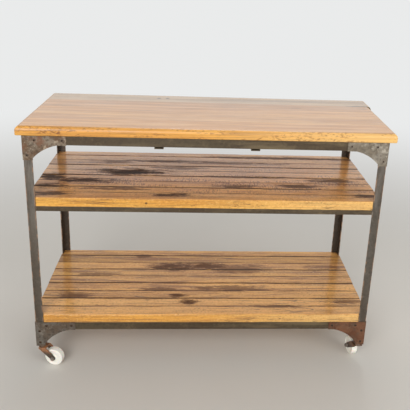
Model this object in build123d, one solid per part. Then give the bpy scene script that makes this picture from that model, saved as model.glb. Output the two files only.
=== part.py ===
from build123d import *
import math
import os

# Kitchen trolley: three timber decks on a riveted angle-iron frame that rolls on four swivel casters.
# Millimetres. The origin is on the floor below the centre of the whole, +Z is up, the front faces -Y.
# The frame is built about its own centre and then set off from the worktop's centre along X.

# Frame of angle iron
frame_length = 1190.0
frame_depth = 450.0
post_leg = 28.0
section_wall = 3.0
section_heel_radius = 1.5
section_root_radius = 2.0
rail_leg = 30.0
middle_rail_leg = 18.0

# Decks, from the lower one up
shelf_thickness = 31.0
middle_shelf_rise = 450.0
worktop_rise = 244.0

# Worktop: both ends are cut out of square, and the rear plank stands out at the right end.
# The overhangs are taken at the front corners, the leans from the front edge to the rear one.
top_left_overhang = 22.5
top_right_overhang = 27.0
top_left_lean = 12.0
top_right_lean = 9.0
rear_plank_extra = 7.0
top_front_overhang = 2.0
top_thickness = 31.0
top_nosing_radius = 15.0
top_under_radius = 3.0
top_corner_radius = 4.0
top_seam_shares = (0.233, 0.421, 0.590, 0.767)
split_length = 70.0
split_width = 7.0

# Shelf boards
shelf_end_overhang = 2.0
slat_gap = 2.4
slat_edge_radius = 1.2
slat_front_radius = 3.0
notch_clearance = 1.5
middle_seam_shares = (0.115, 0.221, 0.341, 0.455, 0.566, 0.677, 0.792, 0.911)
lower_seam_shares = (0.114, 0.223, 0.334, 0.450, 0.557, 0.668, 0.784, 0.908)

# Cross bearers: box section, carried between the front and the rear rails
bearer_width = 30.0
bearer_wall = 2.5
top_bearer_drop = 38.0
bearer_place_shares = (-0.274, 0.256)

# Corner brackets: bent round the corner, with one wing on the long side and one on the end
bracket_wall = 2.0
bracket_arm_length = 138.0
bracket_arm_height = 31.0
bracket_leg_width = 30.0
bracket_curve_radius = 140.0
upper_bracket_height = 82.0
upper_toe_height = 6.0
upper_curve_start_share = 0.775
lower_bracket_height = 98.0
lower_toe_height = 10.0
lower_curve_start_share = 0.85

# Rivets: shares of the arm's length and height, of the leg's width, and of the wing's height from the top
rivet_head_radius = 5.0
rivet_head_height = 2.6
rivet_shank_radius = 3.0
rivet_tail_radius = 4.4
rivet_tail_height = 1.8
rivet_hole_clearance = 0.1
rivet_arm_shares = (0.275, 0.905)
rivet_drop_share = 0.45
rivet_leg_share = 0.43
upper_leg_rivet_shares = (0.79,)
lower_leg_rivet_shares = (0.37, 0.85)

# Screws that hold the boards down on the end rails
screw_head_radius = 4.5
screw_head_height = 2.4
screw_shank_radius = 2.2
screw_bite = 20.0
screw_clearance = 0.15
screw_pilot_extra = 1.0

# Caster wheels
wheel_radius = 32.5
wheel_half_width = 11.0
wheel_edge_radius = 3.0
wheel_bore_clearance = 0.06
wheel_rim_width = 7.0
wheel_recess_depth = 1.6
hub_radius = 10.5
hub_standout = 2.4
hub_side_clearance = 0.3

# Caster forks: the crown passes over the wheel, the trail is from the kingpin to the axle
caster_trail = 43.7
crown_wheel_clearance = 2.4
fork_wall = 3.0
fork_bend_radius = 2.0
fork_crown_thickness = 2.8
fork_crown_back = 9.0
fork_crown_front = 18.4
fork_eye_radius = 8.8
# Degrees from +X to the way that each wheel trails at rest
caster_azimuths = {"front_left": -14.4, "front_right": 100.5, "rear_right": 165.6, "rear_left": 280.5}

# Kingpins, with the cup above the crown and the head below it
kingpin_inset_x = 17.9
kingpin_inset_y = 11.8
cup_radius = 11.0
cup_height = 3.5
swivel_gap = 0.3
stem_radius = 4.0
stem_rise = 10.0
stem_hole_clearance = 0.15
stem_running_clearance = 0.06
kingpin_head_radius = 7.0
kingpin_head_height = 2.6
stem_nut_flats = 13.0
stem_nut_height = 6.5
thread_clearance = 0.1

# Foot plates under the posts
foot_plate_length = 28.5
foot_plate_width = 28.5
foot_plate_wall = 3.0
foot_plate_inset = 1.5
foot_plate_corner_radius = 4.0

# Axle bolts
axle_radius = 4.0
axle_hole_clearance = 0.1
axle_head_flats = 13.0
axle_head_height = 5.0
axle_nut_height = 6.5
axle_tip = 2.5

# How far every cutting solid runs past the face that it cuts
overrun = 1.0

half_length = frame_length / 2
half_depth = frame_depth / 2
top_right_reach = top_right_overhang + top_right_lean + rear_plank_extra
top_length = frame_length + top_left_overhang + top_right_reach
top_depth = frame_depth + 2 * top_front_overhang
frame_offset_x = (top_left_overhang - top_right_reach) / 2

# Heights from the floor up
crown_under = 2 * wheel_radius + crown_wheel_clearance
crown_top = crown_under + fork_crown_thickness
cup_under = crown_top + swivel_gap
post_foot_height = cup_under + cup_height + foot_plate_wall
lower_under = post_foot_height + lower_bracket_height
lower_shelf_height = lower_under + shelf_thickness
middle_shelf_height = lower_shelf_height + middle_shelf_rise
middle_under = middle_shelf_height - shelf_thickness
overall_height = middle_shelf_height + worktop_rise
top_under = overall_height - top_thickness

# Half widths from the wheel out to the fork
hub_half_width = wheel_half_width + hub_standout
fork_inner_half_gap = hub_half_width + hub_side_clearance
fork_outer_half_width = fork_inner_half_gap + fork_wall

# Which way each corner lies from the frame's centre
corner_sides = {"front_left": (-1, -1), "front_right": (1, -1), "rear_left": (-1, 1), "rear_right": (1, 1)}


def box_between(low, high):
    """A box from its low corner to its high corner."""
    size = [b - a for a, b in zip(low, high)]
    middle = [(a + b) / 2 for a, b in zip(low, high)]
    return Pos(*middle) * Box(*size)


def to_corner(shape, side_x, side_y):
    """Carry a shape built at the frame's front left corner to another corner, by mirroring."""
    if side_x > 0:
        shape = mirror(shape, about=Plane.YZ)
    if side_y > 0:
        shape = mirror(shape, about=Plane.XZ)
    return shape


def angle_section(leg_x, leg_y):
    """An L with its heel at the origin and its legs along +X and +Y."""
    wall = section_wall
    outline = Polyline((0, 0), (leg_x, 0), (leg_x, wall), (wall, wall), (wall, leg_y), (0, leg_y), close=True)
    face = make_face(outline)
    heel = face.vertices().sort_by_distance((0, 0, 0))[0]
    face = fillet(heel, radius=section_heel_radius)
    root = face.vertices().sort_by_distance((wall, wall, 0))[0]
    return fillet(root, radius=section_root_radius)


def rivet_places(height, leg_shares):
    """Rivet positions on one wing: along the wing, and down from its top edge."""
    arm_drop = rivet_drop_share * bracket_arm_height
    arm_row = [(share * bracket_arm_length, arm_drop) for share in rivet_arm_shares]
    return arm_row + [(rivet_leg_share * bracket_leg_width, share * height) for share in leg_shares]


upper_rivets = rivet_places(upper_bracket_height, upper_leg_rivet_shares)
lower_rivets = rivet_places(lower_bracket_height, lower_leg_rivet_shares)


def wing_rivets():
    """Every rivet axis at the front left corner: point on the bracket's face and the way it points in."""
    axes = []
    for level, places in ((top_under, upper_rivets), (lower_under, lower_rivets)):
        for along, drop in places:
            on_front = (-half_length + along, -half_depth - bracket_wall, level - drop)
            on_end = (-half_length - bracket_wall, -half_depth + along, level - drop)
            axes.append(Plane(on_front, x_dir=(1, 0, 0), z_dir=(0, 1, 0)))
            axes.append(Plane(on_end, x_dir=(0, 1, 0), z_dir=(1, 0, 0)))
    return axes


def rivet_holes():
    """Cutting pins for all the rivets at the front left corner."""
    reach = bracket_wall + section_wall + overrun
    pin = Pos(0, 0, reach / 2) * Cylinder(rivet_shank_radius + rivet_hole_clearance, reach + overrun)
    return [plane * pin for plane in wing_rivets()]


def rivet():
    """One domed rivet: its head stands off the bracket, its tail closes on the back of the section."""
    grip = bracket_wall + section_wall
    sphere_radius = (rivet_head_radius ** 2 + rivet_head_height ** 2) / (2 * rivet_head_height)
    dome = Pos(0, 0, sphere_radius - rivet_head_height) * Sphere(sphere_radius)
    head = dome & Pos(0, 0, -rivet_head_height) * Cylinder(rivet_head_radius, 2 * rivet_head_height)
    head -= Pos(0, 0, sphere_radius) * Box(4 * sphere_radius, 4 * sphere_radius, 2 * sphere_radius)
    shank = Pos(0, 0, grip / 2) * Cylinder(rivet_shank_radius, grip)
    tail = Pos(0, 0, grip + rivet_tail_height / 2) * Cylinder(rivet_tail_radius, rivet_tail_height)
    return head + shank + tail


def corner_post():
    """A post at the front left corner, from the foot plate to the worktop, drilled for its rivets."""
    height = top_under - post_foot_height
    section = Pos(-half_length, -half_depth, post_foot_height) * angle_section(post_leg, post_leg)
    post = extrude(section, amount=height, dir=(0, 0, 1))
    for pin in rivet_holes():
        post -= pin
    return post


def long_rail(level, drop):
    """A front rail between two posts: its seat carries the boards, its other leg hangs down in front."""
    length = frame_length - 2 * post_leg
    plane = Plane((-length / 2, -half_depth, level), x_dir=(0, 1, 0), z_dir=(1, 0, 0))
    section = plane * mirror(angle_section(post_leg, drop), about=Plane.XZ)
    rail = extrude(section, amount=length, dir=(1, 0, 0))
    for pin in rivet_holes():
        rail -= pin
        rail -= mirror(pin, about=Plane.YZ)
    return rail


def end_rail(level, drop, board_centres):
    """A left end rail between the front and the rear post, drilled for rivets and board screws."""
    length = frame_depth - 2 * post_leg
    plane = Plane((-half_length, length / 2, level), x_dir=(1, 0, 0), z_dir=(0, -1, 0))
    section = plane * mirror(angle_section(post_leg, drop), about=Plane.XZ)
    rail = extrude(section, amount=length, dir=(0, -1, 0))
    for pin in rivet_holes():
        rail -= pin
        rail -= mirror(pin, about=Plane.XZ)
    for centre in board_centres:
        hole = Cylinder(screw_shank_radius + screw_clearance, 2 * (section_wall + overrun))
        rail -= Pos(screw_x(-1), centre, level - section_wall / 2) * hole
    return rail


def bearer(share, level, drop):
    """A box section across the frame, coped at both ends to pass under the rails' seats."""
    centre = share * half_length
    reach = half_depth - section_wall
    side = bearer_width / 2
    tube = box_between((centre - side, -reach, level - drop), (centre + side, reach, level))
    bore_low = (centre - side + bearer_wall, -reach - overrun, level - drop + bearer_wall)
    bore_high = (centre + side - bearer_wall, reach + overrun, level - bearer_wall)
    tube -= box_between(bore_low, bore_high)
    seat_edge = half_depth - post_leg
    seat_under = level - section_wall
    root_under = seat_under - section_root_radius
    outline = Polyline((seat_edge, level + overrun), (reach + overrun, level + overrun),
                       (reach + overrun, root_under), (reach, root_under),
                       (reach - section_root_radius, seat_under), (seat_edge, seat_under), close=True)
    plane = Plane((centre - side - overrun, 0, 0), x_dir=(0, 1, 0), z_dir=(1, 0, 0))
    cope = extrude(plane * make_face(outline), amount=bearer_width + 2 * overrun, dir=(1, 0, 0))
    return tube - cope - mirror(cope, about=Plane.XZ)


def seam_lines(shares, depth):
    """The front edge, the seams between boards and the rear edge, as Y values."""
    return [-depth / 2] + [share * depth - depth / 2 for share in shares] + [depth / 2]


def screw_x(side):
    """X of the row of screws in one end rail's seat."""
    return side * (half_length - post_leg / 2)


def screw_centres(lines, depth_limit):
    """Y of each board's screw: the middle of what lies over the end rail's seat."""
    pairs = zip(lines[:-1], lines[1:])
    return [(max(a, -depth_limit) + min(b, depth_limit)) / 2 for a, b in pairs]


seat_limit = half_depth - post_leg - notch_clearance
top_lines = seam_lines(top_seam_shares, top_depth)
middle_lines = seam_lines(middle_seam_shares, frame_depth)
lower_lines = seam_lines(lower_seam_shares, frame_depth)
top_centres = screw_centres(top_lines, seat_limit)
middle_centres = screw_centres(middle_lines, seat_limit)
lower_centres = screw_centres(lower_lines, seat_limit)


def pilot(side, centre, level):
    """A blind hole up into a board for one screw."""
    depth = screw_bite + screw_pilot_extra
    hole = Pos(0, 0, (depth - overrun) / 2) * Cylinder(screw_shank_radius + screw_clearance, depth + overrun)
    return Pos(screw_x(side), centre, level) * hole


def left_end(y):
    """X of the worktop's left end at one depth."""
    return -top_length / 2 + top_left_lean * (y / top_depth + 1 / 2)


def right_end(y):
    """X of the worktop's right end at one depth, short of the rear plank."""
    return top_length / 2 - rear_plank_extra - top_right_lean * (1 / 2 - y / top_depth)


def rounding(start, end, radius, level, way):
    """What a round along one outer edge takes off: the wood lies left of start to end, way is 1 on top."""
    (x1, y1), (x2, y2) = start, end
    reach = math.hypot(x2 - x1, y2 - y1)
    along = ((x2 - x1) / reach, (y2 - y1) / reach, 0)
    begin = (x1 - overrun * along[0], y1 - overrun * along[1], level)
    plane = Plane(begin, x_dir=(-along[1], along[0], 0), z_dir=along)
    out = way * overrun
    depth = way * radius
    edge = Polyline((0, -depth), (-overrun, -depth), (-overrun, out), (radius, out), (radius, 0))
    middle = 1 - math.sqrt(1 / 2)
    arc = ThreePointArc((radius, 0), (middle * radius, -middle * depth), (0, -depth))
    profile = make_face([*edge.edges(), *arc.edges()])
    return extrude(plane * profile, amount=reach + 2 * overrun, dir=along)


def worktop_plank(front, rear, is_front, is_rear):
    """One plank with the nosing along its outer edges."""
    extra = rear_plank_extra if is_rear else 0
    corners = [(left_end(front), front), (right_end(front) + extra, front),
               (right_end(rear) + extra, rear), (left_end(rear), rear)]
    plank = extrude(Pos(0, 0, top_under) * make_face(Polyline(*corners, close=True)), amount=top_thickness)
    outer = front if is_front else rear
    if is_front or is_rear:
        rounded = [edge for edge in plank.edges().filter_by(Axis.Z) if abs(edge.center().Y - outer) < overrun]
        plank = fillet(rounded, radius=top_corner_radius)
    runs = [(corners[1], corners[2]), (corners[3], corners[0])]
    if is_front:
        runs.append((corners[0], corners[1]))
    if is_rear:
        runs.append((corners[2], corners[3]))
    for start, end in runs:
        plank -= rounding(start, end, top_nosing_radius, overall_height, 1)
        plank -= rounding(start, end, top_under_radius, top_under, -1)
    return plank


def worktop():
    """The five planks of the worktop. The joint before the rear plank has opened at the right end."""
    split_line = top_lines[-2]
    end = top_length / 2 + overrun
    wedge = Polyline((right_end(split_line) - split_length, split_line), (end, split_line - split_width / 2),
                     (end, split_line + split_width / 2), close=True)
    below = Pos(0, 0, top_under - overrun)
    opening = extrude(below * make_face(wedge), amount=top_thickness + 2 * overrun)
    planks = []
    for index, (front, rear, centre) in enumerate(zip(top_lines[:-1], top_lines[1:], top_centres)):
        plank = worktop_plank(front, rear, index == 0, index == len(top_centres) - 1)
        plank -= opening
        for side in (-1, 1):
            plank -= Pos(frame_offset_x, 0, 0) * pilot(side, centre, top_under)
        planks.append(plank)
    return planks


def shelf(level, lines, centres):
    """The slats of one shelf: gaps between them, corners cut out for the posts, pilots below."""
    end = half_length + shelf_end_overhang
    under = level - shelf_thickness
    slats = []
    for index, (front, rear, centre) in enumerate(zip(lines[:-1], lines[1:], centres)):
        is_front = index == 0
        is_rear = index == len(lines) - 2
        near = front if is_front else front + slat_gap / 2
        far = rear if is_rear else rear - slat_gap / 2
        slat = box_between((-end, near, under), (end, far, level))
        edges = slat.edges().filter_by(Axis.X)
        arris = edges.filter_by_position(Axis.Z, level, level).sort_by(Axis.Y)[0]
        if is_front:
            edges.remove(arris)
        slat = fillet(edges, radius=slat_edge_radius)
        if is_front:
            arris = slat.edges().filter_by(Axis.X).group_by(Axis.Z)[-1].sort_by(Axis.Y)[0]
            slat = fillet(arris, radius=slat_front_radius)
        for side_x in (-1, 1):
            if is_front or is_rear:
                for cut in corner_cuts(side_x, -1 if is_front else 1, under, level):
                    slat -= cut
            slat -= pilot(side_x, centre, under)
        slats.append(slat)
    return slats


def corner_cuts(side_x, side_y, under, level):
    """What is cut away where a board passes a post: a slot for each leg, so its corner nests in the angle."""
    reach = post_leg + notch_clearance
    slot = section_wall + notch_clearance
    far_x = half_length + shelf_end_overhang + overrun
    far_y = half_depth + overrun
    cuts = []
    for from_end, from_edge in ((reach, slot), (slot, reach)):
        xs = sorted((side_x * (half_length - from_end), side_x * far_x))
        ys = sorted((side_y * (half_depth - from_edge), side_y * far_y))
        cuts.append(box_between((xs[0], ys[0], under - overrun), (xs[1], ys[1], level + overrun)))
    return cuts


def bracket_wing(height, curve_start_share, toe_height):
    """A wing's outline, X along the wing from the bent corner and Y up from the frame's level."""
    outer = -bracket_wall
    curve_start = (curve_start_share * bracket_arm_length, -bracket_arm_height)
    curve_end = (bracket_leg_width, toe_height - height)
    edge = Polyline(curve_start, (bracket_arm_length, -bracket_arm_height), (bracket_arm_length, 0),
                    (outer, 0), (outer, -height), (bracket_leg_width, -height), curve_end)
    curve = RadiusArc(curve_end, curve_start, bracket_curve_radius)
    return make_face([*edge.edges(), *curve.edges()])


def corner_bracket(level, height, curve_start_share, toe_height):
    """A bracket at the front left corner: two wings bent from one sheet."""
    outline = bracket_wing(height, curve_start_share, toe_height)
    front_plane = Plane((-half_length, -half_depth, level), x_dir=(1, 0, 0), z_dir=(0, -1, 0))
    front = extrude(front_plane * outline, amount=bracket_wall, dir=(0, -1, 0))
    end_plane = Plane((-half_length, -half_depth, level), x_dir=(0, 1, 0), z_dir=(1, 0, 0))
    end = extrude(end_plane * outline, amount=bracket_wall, dir=(-1, 0, 0))
    bracket = front + end
    bend = bracket.edges().filter_by(Axis.Z).sort_by(lambda edge: edge.center().X + edge.center().Y)[0]
    bracket = fillet(bend, radius=bracket_wall)
    for pin in rivet_holes():
        bracket -= pin
    return bracket


def corner_rivets():
    """All the rivets at the front left corner, as separate solids."""
    return [plane * rivet() for plane in wing_rivets()]


def deck_screws():
    """The screws under all the decks, as separate solids."""
    head_z = -section_wall - screw_head_height
    head = Pos(0, 0, head_z + screw_head_height / 2) * Cylinder(screw_head_radius, screw_head_height)
    head = fillet(head.edges().group_by(Axis.Z)[0], radius=screw_head_height / 2)
    length = section_wall + screw_bite
    shank = Pos(0, 0, length / 2 - section_wall) * Cylinder(screw_shank_radius, length)
    screw = head + shank
    screws = []
    rows = ((top_under, top_centres), (middle_under, middle_centres), (lower_under, lower_centres))
    for level, centres in rows:
        for centre in centres:
            for side in (-1, 1):
                screws.append(Pos(screw_x(side), centre, level) * screw)
    return screws


def foot_plate():
    """The plate welded under the post at the front left corner, drilled for the caster's stem."""
    left = -half_length + foot_plate_inset
    front = -half_depth + foot_plate_inset
    low = (left, front, post_foot_height - foot_plate_wall)
    plate = box_between(low, (left + foot_plate_length, front + foot_plate_width, post_foot_height))
    plate = fillet(plate.edges().filter_by(Axis.Z), radius=foot_plate_corner_radius)
    hole = Cylinder(stem_radius + stem_hole_clearance, 2 * (foot_plate_wall + overrun))
    return plate - Pos(-half_length + kingpin_inset_x, -half_depth + kingpin_inset_y, post_foot_height) * hole


def disc(radius, low, high):
    """A round disc on the Z axis between two heights."""
    return Pos(0, 0, (low + high) / 2) * Cylinder(radius, high - low)


def hexagon(flats, low, high):
    """A hexagonal prism on the Z axis between two heights, its corners turned down."""
    height = high - low
    prism = extrude(Pos(0, 0, low) * RegularPolygon(flats / 2, 6, major_radius=False), amount=height)
    turned = disc(flats / math.sqrt(3), low, high)
    turned = fillet(turned.edges().group_by(Axis.Z)[-1], radius=height / 6)
    return prism & turned


def caster_stem():
    """Kingpin, upper cup and threaded stem in one piece, on the Z axis."""
    cup = disc(cup_radius, cup_under, cup_under + cup_height)
    cup = fillet(cup.edges().group_by(Axis.Z)[0], radius=cup_height / 4)
    head_top = crown_under - swivel_gap
    head = disc(kingpin_head_radius, head_top - kingpin_head_height, head_top)
    head = fillet(head.edges().group_by(Axis.Z)[0], radius=kingpin_head_height / 3)
    shank = disc(stem_radius, head_top - kingpin_head_height / 2, post_foot_height + stem_rise)
    return cup + head + shank


def caster_stem_nut():
    """The nut on top of the foot plate."""
    nut = hexagon(stem_nut_flats, post_foot_height, post_foot_height + stem_nut_height)
    return nut - disc(stem_radius + thread_clearance, 0, post_foot_height + stem_rise + overrun)


def caster_fork():
    """The swivel fork: a crown with a bent-down arm each side that carries the axle behind the kingpin."""
    outer = fork_outer_half_width
    crown = box_between((-fork_crown_back, -outer, crown_under), (fork_crown_front, outer, crown_top))
    eye = Pos(caster_trail, -wheel_radius) * Circle(fork_eye_radius)
    shoulder = Polyline((fork_crown_front, -crown_top), (-fork_crown_back, -crown_top),
                        (-fork_crown_back, -crown_under + fork_wall))
    arm_outline = make_face(make_hull([*eye.edges(), *shoulder.edges()]))
    arm_plane = Plane((0, -outer, 0), x_dir=(1, 0, 0), z_dir=(0, 1, 0))
    arm = extrude(arm_plane * arm_outline, amount=fork_wall, dir=(0, 1, 0))
    fork = crown + arm + mirror(arm, about=Plane.XZ)
    bends = fork.edges().filter_by(Axis.X).filter_by_position(Axis.Z, crown_top, crown_top)
    fork = fillet(bends, radius=fork_bend_radius)
    fork -= disc(stem_radius + stem_running_clearance, crown_under - overrun, crown_top + overrun)
    return fork - across(Cylinder(axle_radius + axle_hole_clearance, 2 * (outer + overrun)))


def across(shape):
    """Lay a shape built along Z on the axle's line, its top towards -Y."""
    return Pos(caster_trail, 0, wheel_radius) * Rot(90, 0, 0) * shape


def caster_axle():
    """Axle bolt and its nut, as two solids."""
    outer = fork_outer_half_width
    head = hexagon(axle_head_flats, outer, outer + axle_head_height)
    nut_face = -outer - axle_nut_height
    shank = disc(axle_radius, nut_face - axle_tip, outer + axle_head_height / 2)
    nut = mirror(hexagon(axle_head_flats, outer, outer + axle_nut_height), about=Plane.XY)
    nut -= disc(axle_radius + thread_clearance, nut_face - overrun, 0)
    return [across(head + shank), across(nut)]


def caster_wheel():
    """The wheel: a solid tread with a shallow recess each side and a hub that fills the fork."""
    web = wheel_half_width - wheel_recess_depth
    recess_radius = wheel_radius - wheel_rim_width
    bore = axle_radius + wheel_bore_clearance
    half = [(bore, hub_half_width), (hub_radius, hub_half_width), (hub_radius, web), (recess_radius, web),
            (recess_radius + wheel_recess_depth, wheel_half_width), (wheel_radius, wheel_half_width)]
    outline = half + [(radius, -offset) for radius, offset in reversed(half)]
    face = make_face(Polyline(*outline, close=True))
    tread = [vertex for vertex in face.vertices() if vertex.X > wheel_radius - wheel_edge_radius]
    face = fillet(tread, radius=wheel_edge_radius)
    return across(revolve(Plane.XZ * face, Axis.Z))


def at_caster(shape, name):
    """Set a shape built about a kingpin on the Z axis at one corner, turned the way its wheel trails."""
    side_x, side_y = corner_sides[name]
    place = Pos(side_x * (half_length - kingpin_inset_x), side_y * (half_depth - kingpin_inset_y), 0)
    return place * Rot(0, 0, caster_azimuths[name]) * shape


def build_nodes():
    """Every node by name. All but the worktop are built about the frame's centre."""
    nodes = {}
    post = corner_post()
    for corner, sides in corner_sides.items():
        nodes["post_" + corner] = to_corner(post, *sides)
    levels = (("top", top_under, rail_leg, top_centres),
              ("middle", middle_under, middle_rail_leg, middle_centres),
              ("lower", lower_under, rail_leg, lower_centres))
    for name, level, drop, centres in levels:
        front = long_rail(level, drop)
        left = end_rail(level, drop, centres)
        nodes[name + "_rail_front"] = front
        nodes[name + "_rail_rear"] = mirror(front, about=Plane.XZ)
        nodes[name + "_rail_left"] = left
        nodes[name + "_rail_right"] = mirror(left, about=Plane.YZ)
    top_bearers = [bearer(share, top_under, top_bearer_drop) for share in bearer_place_shares]
    nodes["top_bearers"] = Compound(top_bearers)
    shelf_bearers = [bearer(share, level, middle_rail_leg) for level in (middle_under, lower_under)
                     for share in bearer_place_shares]
    nodes["shelf_bearers"] = Compound(shelf_bearers)
    for name, level, lines, centres in (("middle", middle_shelf_height, middle_lines, middle_centres),
                                        ("lower", lower_shelf_height, lower_lines, lower_centres)):
        for number, slat in enumerate(shelf(level, lines, centres), 1):
            nodes[f"{name}_slat_{number}"] = slat
    upper = corner_bracket(top_under, upper_bracket_height, upper_curve_start_share, upper_toe_height)
    lower = corner_bracket(lower_under, lower_bracket_height, lower_curve_start_share, lower_toe_height)
    every_side = list(corner_sides.values())
    nodes["upper_corner_brackets"] = Compound([to_corner(upper, *sides) for sides in every_side])
    nodes["lower_corner_brackets"] = Compound([to_corner(lower, *sides) for sides in every_side])
    rivets = [to_corner(one, *sides) for sides in every_side for one in corner_rivets()]
    nodes["bracket_rivets"] = Compound(rivets)
    nodes["deck_screws"] = Compound(deck_screws())
    nodes["foot_plates"] = Compound([to_corner(foot_plate(), *sides) for sides in every_side])
    stems = [at_caster(one, name) for name in corner_sides for one in (caster_stem(), caster_stem_nut())]
    nodes["caster_stems"] = Compound(stems)
    for name in corner_sides:
        nodes["caster_fork_" + name] = at_caster(caster_fork(), name)
        nodes["caster_axle_" + name] = Compound([at_caster(one, name) for one in caster_axle()])
        nodes["caster_wheel_" + name] = at_caster(caster_wheel(), name)
    nodes = {name: Pos(frame_offset_x, 0, 0) * shape for name, shape in nodes.items()}
    for number, plank in enumerate(worktop(), 1):
        nodes[f"top_plank_{number}"] = plank
    return nodes


os.makedirs("parts", exist_ok=True)
for node_name, node_shape in build_nodes().items():
    export_step(node_shape, os.path.join("parts", node_name + ".step"))
    print(node_name, len(node_shape.solids()))
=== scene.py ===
"""Looks of a kitchen trolley: varnished reclaimed boards on a worn angle-iron frame with small casters."""

import math

import bmesh
import bpy
from mathutils import Matrix, Vector, noise


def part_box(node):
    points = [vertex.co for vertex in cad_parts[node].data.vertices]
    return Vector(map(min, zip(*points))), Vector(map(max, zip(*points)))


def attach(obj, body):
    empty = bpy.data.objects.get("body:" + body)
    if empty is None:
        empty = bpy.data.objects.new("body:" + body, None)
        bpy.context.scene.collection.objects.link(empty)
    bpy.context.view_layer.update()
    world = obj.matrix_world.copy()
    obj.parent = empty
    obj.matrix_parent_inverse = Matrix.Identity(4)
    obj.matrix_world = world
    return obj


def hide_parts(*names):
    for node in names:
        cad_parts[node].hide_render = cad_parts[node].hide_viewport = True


MM = 0.001

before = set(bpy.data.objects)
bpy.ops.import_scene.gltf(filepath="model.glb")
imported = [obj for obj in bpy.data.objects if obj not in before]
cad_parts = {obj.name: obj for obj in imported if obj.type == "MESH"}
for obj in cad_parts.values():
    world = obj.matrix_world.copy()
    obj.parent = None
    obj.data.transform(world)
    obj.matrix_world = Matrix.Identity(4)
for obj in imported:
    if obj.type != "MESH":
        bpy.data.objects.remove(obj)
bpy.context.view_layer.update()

# Sizes that the modelled pieces take from the solids
slot_length = 31.5 * MM
slot_depth = 29.5 * MM
slot_at_end = 6.5 * MM
slot_at_edge = 4.5 * MM
nosing_radius = 15 * MM
nosing_under_radius = 3 * MM
worktop_corner_radius = 3 * MM
left_lean = 12 / 454
right_lean = 9 / 454
split_length = 70 * MM
split_half_width = 3.4 * MM
shelf_front_radius = 3 * MM
worn_radius = 1.1 * MM

# How far each shelf board sinks below the front one, in mm, from the front to the rear
board_sinks = (0, 1.0, 0.3, 1.3, 0.2, 0.9, 0.1, 1.1, 0.3)

# How a board's edges wander and its faces lie uneven: direction, strength, rest level and size of the clouds
board_pushes = (
    ("Y", 0.0016, 0.5, 0.11),
    ("Y", 0.0009, 0.5, 0.023),
    ("NORMAL", 0.0011, 0.0, 0.045),
    ("Z", 0.0007, 1.0, 0.16),
)

# How many boards a shelf has, and how finely the pieces are cut and rounded
boards_per_shelf = 9
board_cuts = 90
plank_cuts = 100
shelf_front_segments = 4
worn_segments = 2
nosing_segments = 8
nosing_under_segments = 3
corner_segments = 3
sharp_angle = math.radians(30)
smooth_angle = math.radians(40)
on_plane = 1e-5
parallel = 0.999
long_edge = 1
worn_depth = 3 * worn_radius
corner_reach = 1.1 * nosing_radius

# The split in the worktop: how wide a strip it bends, and how ragged it runs
split_strip = 12 * MM
split_raggedness = 0.25
split_raggedness_scale = 60
split_most = 1.1

# Weld beads, in metres: half sizes of one drop, the step to the next, how many follow the first, and the skin
bead_half_width = 0.0030
bead_half_rise = 0.0012
bead_half_height = 0.0017
bead_step = 0.0018
bead_copies = 8
bead_voxel = 0.0004

# Depths of the relief on each finish, in metres
board_wave = 0.0007
board_relief = 0.00035
board_coat_relief = 0.00014
worktop_wave = 0.0006
worktop_relief = 0.00022
worktop_coat_relief = 0.00008
steel_pits = 0.0003
rivet_pits = 0.0002
nylon_relief = 0.00012

# Widths on the finishes, in metres
year_width = 0.0046
shelf_soil_reach = 0.0030
worktop_soil_reach = 0.0014
worktop_seam_shade = 0.020
chipped_reach = 0.0045

# The stage: lamps aim at the trolley's middle, and the surround lights less than it shows
lamp_aim = (0, 0, 0.5)
stage_size = 80
surround_light = 0.42
floor_edge_light = 0.5

# The photograph's camera, fitted to the trolley's straight edges. Its optical centre is held lower than in
# the photograph, because the other views keep its shift and would lose part of the trolley.
photo_width = 410
sensor_width = 36
camera_place = (-62.6 * MM, -1937.2 * MM, 1441.2 * MM)
camera_yaw = 0.07026
camera_pitch = 0.30047
camera_roll = 0.04312
focal_pixels = 557.3
optical_centre_x = 231.1
optical_centre_y = 128.0

# What moves the grain on from one piece to the next
plank_seed_step = 3.7
board_seed_step = 1.9
lower_shelf_seed = 7

# Tones of the timber, the dirt, the rust, and the painted shade and sheen
honey = (0.93, 0.49, 0.095)
amber = (0.75, 0.34, 0.058)
umber = (0.22, 0.085, 0.025)
soot_and_shade = (0.040, 0.028, 0.024)
pore_brown = (0.085, 0.036, 0.014)
fleck_brown = (0.24, 0.085, 0.018)
amber_brown = (0.46, 0.19, 0.045)
red_brown = (0.19, 0.065, 0.030)
pale_honey = (1.00, 0.68, 0.27)
knot_brown = (0.10, 0.040, 0.014)
arris_shade_brown = (0.34, 0.14, 0.035)
crown_rust = (0.40, 0.17, 0.07)
bared_edge = (0.52, 0.34, 0.20)
rust_orange = (0.26, 0.095, 0.034)
rust_brown = (0.11, 0.042, 0.018)
background = (0.82, 0.83, 0.83)


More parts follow.
